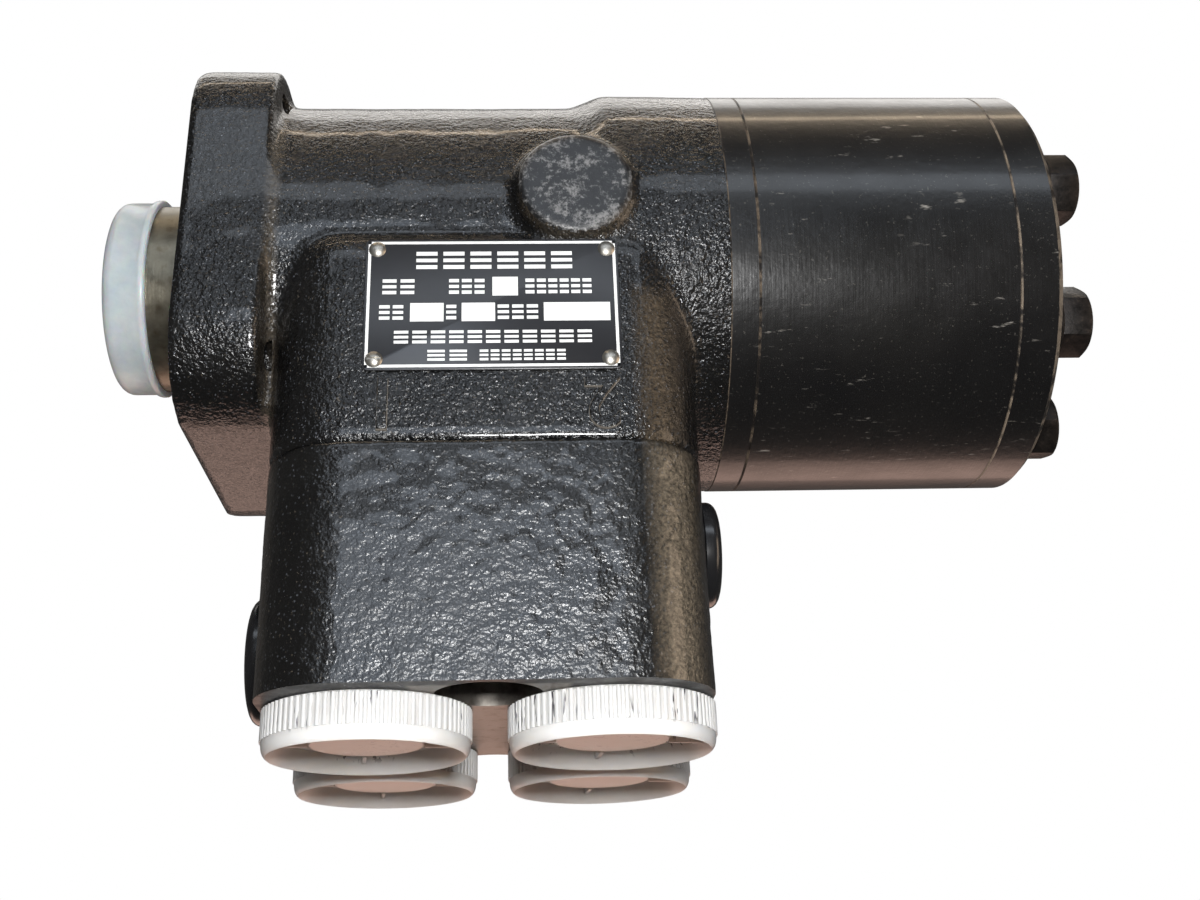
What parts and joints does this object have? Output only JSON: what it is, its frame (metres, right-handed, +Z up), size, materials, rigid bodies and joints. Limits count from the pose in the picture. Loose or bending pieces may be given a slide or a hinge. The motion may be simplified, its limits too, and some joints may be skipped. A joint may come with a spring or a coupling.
{
  "type": "orbital steering unit",
  "caption": "Hydrostatic steering unit: cast body with square column flange and rotary valve, bolted gerotor metering set and a port block with capped ports.",
  "frame": {"origin": "centre of the column face of the flange, on the shaft axis", "axes": "+X along the shaft toward the metering end, +Y away from the nameplate side, +Z up, with the ports facing down"},
  "size_m": [0.2029, 0.0915, 0.1495],
  "materials": {
    "cast_black": "gloss",
    "block_black": "gloss",
    "turned_black": "satin",
    "bare_steel": "machined",
    "spring_steel": "satin",
    "dark_steel": "black oxide",
    "plug_black": "gloss",
    "seal_rubber": "matt",
    "plate_black": "gloss",
    "rivet_metal": "satin",
    "cap_white": "satin",
    "cap_clear": "translucent"
  },
  "bodies": {
    "body": {"housing": "cast_black", "input_gland": "bare_steel", "dust_seal": "seal_rubber", "shaft_seal": "seal_rubber", "bearing_race_front": "bare_steel", "spacer_plate": "turned_black", "stator_ring": "turned_black", "end_cover": "turned_black", "section_seals": "seal_rubber", "cover_bolts": "dark_steel", "ball_bolt": "dark_steel", "cover_washers": "dark_steel", "check_ball": "bare_steel", "port_block": "block_black", "port_seals": "seal_rubber", "clamp_screws": "dark_steel", "relief_plug": "plug_black", "relief_seal": "seal_rubber", "relief_seat": "bare_steel", "relief_spring": "spring_steel", "suction_plug": "plug_black", "suction_seal": "seal_rubber", "suction_seat": "bare_steel", "suction_spring": "spring_steel", "nameplate": "plate_black", "nameplate_rivets": "rivet_metal"},
    "sleeve_body": {"sleeve": "bare_steel", "cross_pin": "bare_steel", "leaf_springs": "spring_steel", "bearing_race_rear": "bare_steel"},
    "bearing_body": {"bearing_cage": "bare_steel", "bearing_needles": "bare_steel"},
    "spool_body": {"spool": "bare_steel"},
    "orbit_body": {"limit_insert": "bare_steel"},
    "rotor_body": {"rotor": "bare_steel"},
    "cardan_body": {"cardan_shaft": "bare_steel"},
    "relief_body": {"relief_poppet": "bare_steel"},
    "suction_body": {"suction_poppet": "bare_steel"},
    "column_cap_body": {"column_cap": "cap_clear"},
    "cap_front_left_body": {"port_cap_front_left": "cap_white"},
    "cap_front_right_body": {"port_cap_front_right": "cap_white"},
    "cap_rear_left_body": {"port_cap_rear_left": "cap_white"},
    "cap_rear_right_body": {"port_cap_rear_right": "cap_white"}
  },
  "joints": [
    {"name": "sleeve_spin", "type": "hinge", "parent": "body", "child": "sleeve_body", "pos_m": [0.06, 0, 0], "axis": [1, 0, 0], "continuous": true},
    {"name": "spool_deflect", "type": "hinge", "parent": "sleeve_body", "child": "spool_body", "pos_m": [0.06, 0, 0], "axis": [1, 0, 0], "range_deg": [-6, 6], "stiffness_Nm_per_rad": 6},
    {"name": "bearing_spin", "type": "hinge", "parent": "body", "child": "bearing_body", "pos_m": [0.01, 0, 0], "axis": [1, 0, 0], "continuous": true},
    {"name": "rotor_orbit", "type": "hinge", "parent": "body", "child": "orbit_body", "pos_m": [0.15, 0, 0], "axis": [1, 0, 0], "continuous": true},
    {"name": "rotor_spin", "type": "hinge", "parent": "orbit_body", "child": "rotor_body", "pos_m": [0.14, 0, -0.0032], "axis": [1, 0, 0], "continuous": true},
    {"name": "cardan_spin", "type": "hinge", "parent": "orbit_body", "child": "cardan_body", "pos_m": [0.06, 0, 0], "axis": [0.999, 0, -0.0445], "continuous": true},
    {"name": "relief_open", "type": "slide", "parent": "body", "child": "relief_body", "axis": [-1, 0, 0], "range_m": [0, 0.0012], "stiffness_N_per_m": 9000, "springref_m": -0.003, "deforming": ["relief_spring"]},
    {"name": "suction_open", "type": "slide", "parent": "body", "child": "suction_body", "axis": [1, 0, 0], "range_m": [0, 0.0012], "stiffness_N_per_m": 1500, "springref_m": -0.002, "deforming": ["suction_spring"]},
    {"name": "column_cap_pull", "type": "slide", "parent": "body", "child": "column_cap_body", "axis": [-1, 0, 0], "range_m": [0, 0.03]},
    {"name": "cap_front_left_pull", "type": "slide", "parent": "body", "child": "cap_front_left_body", "axis": [0, 0, -1], "range_m": [0, 0.03]},
    {"name": "cap_front_right_pull", "type": "slide", "parent": "body", "child": "cap_front_right_body", "axis": [0, 0, -1], "range_m": [0, 0.03]},
    {"name": "cap_rear_left_pull", "type": "slide", "parent": "body", "child": "cap_rear_left_body", "axis": [0, 0, -1], "range_m": [0, 0.03]},
    {"name": "cap_rear_right_pull", "type": "slide", "parent": "body", "child": "cap_rear_right_body", "axis": [0, 0, -1], "range_m": [0, 0.03]}
  ],
  "couplings": [
    {"joint": "bearing_spin", "follows": "sleeve_spin", "ratio": 0.5},
    {"joint": "rotor_orbit", "follows": "sleeve_spin", "ratio": -6},
    {"joint": "rotor_spin", "follows": "sleeve_spin", "ratio": 7},
    {"joint": "cardan_spin", "follows": "sleeve_spin", "ratio": 7}
  ]
}
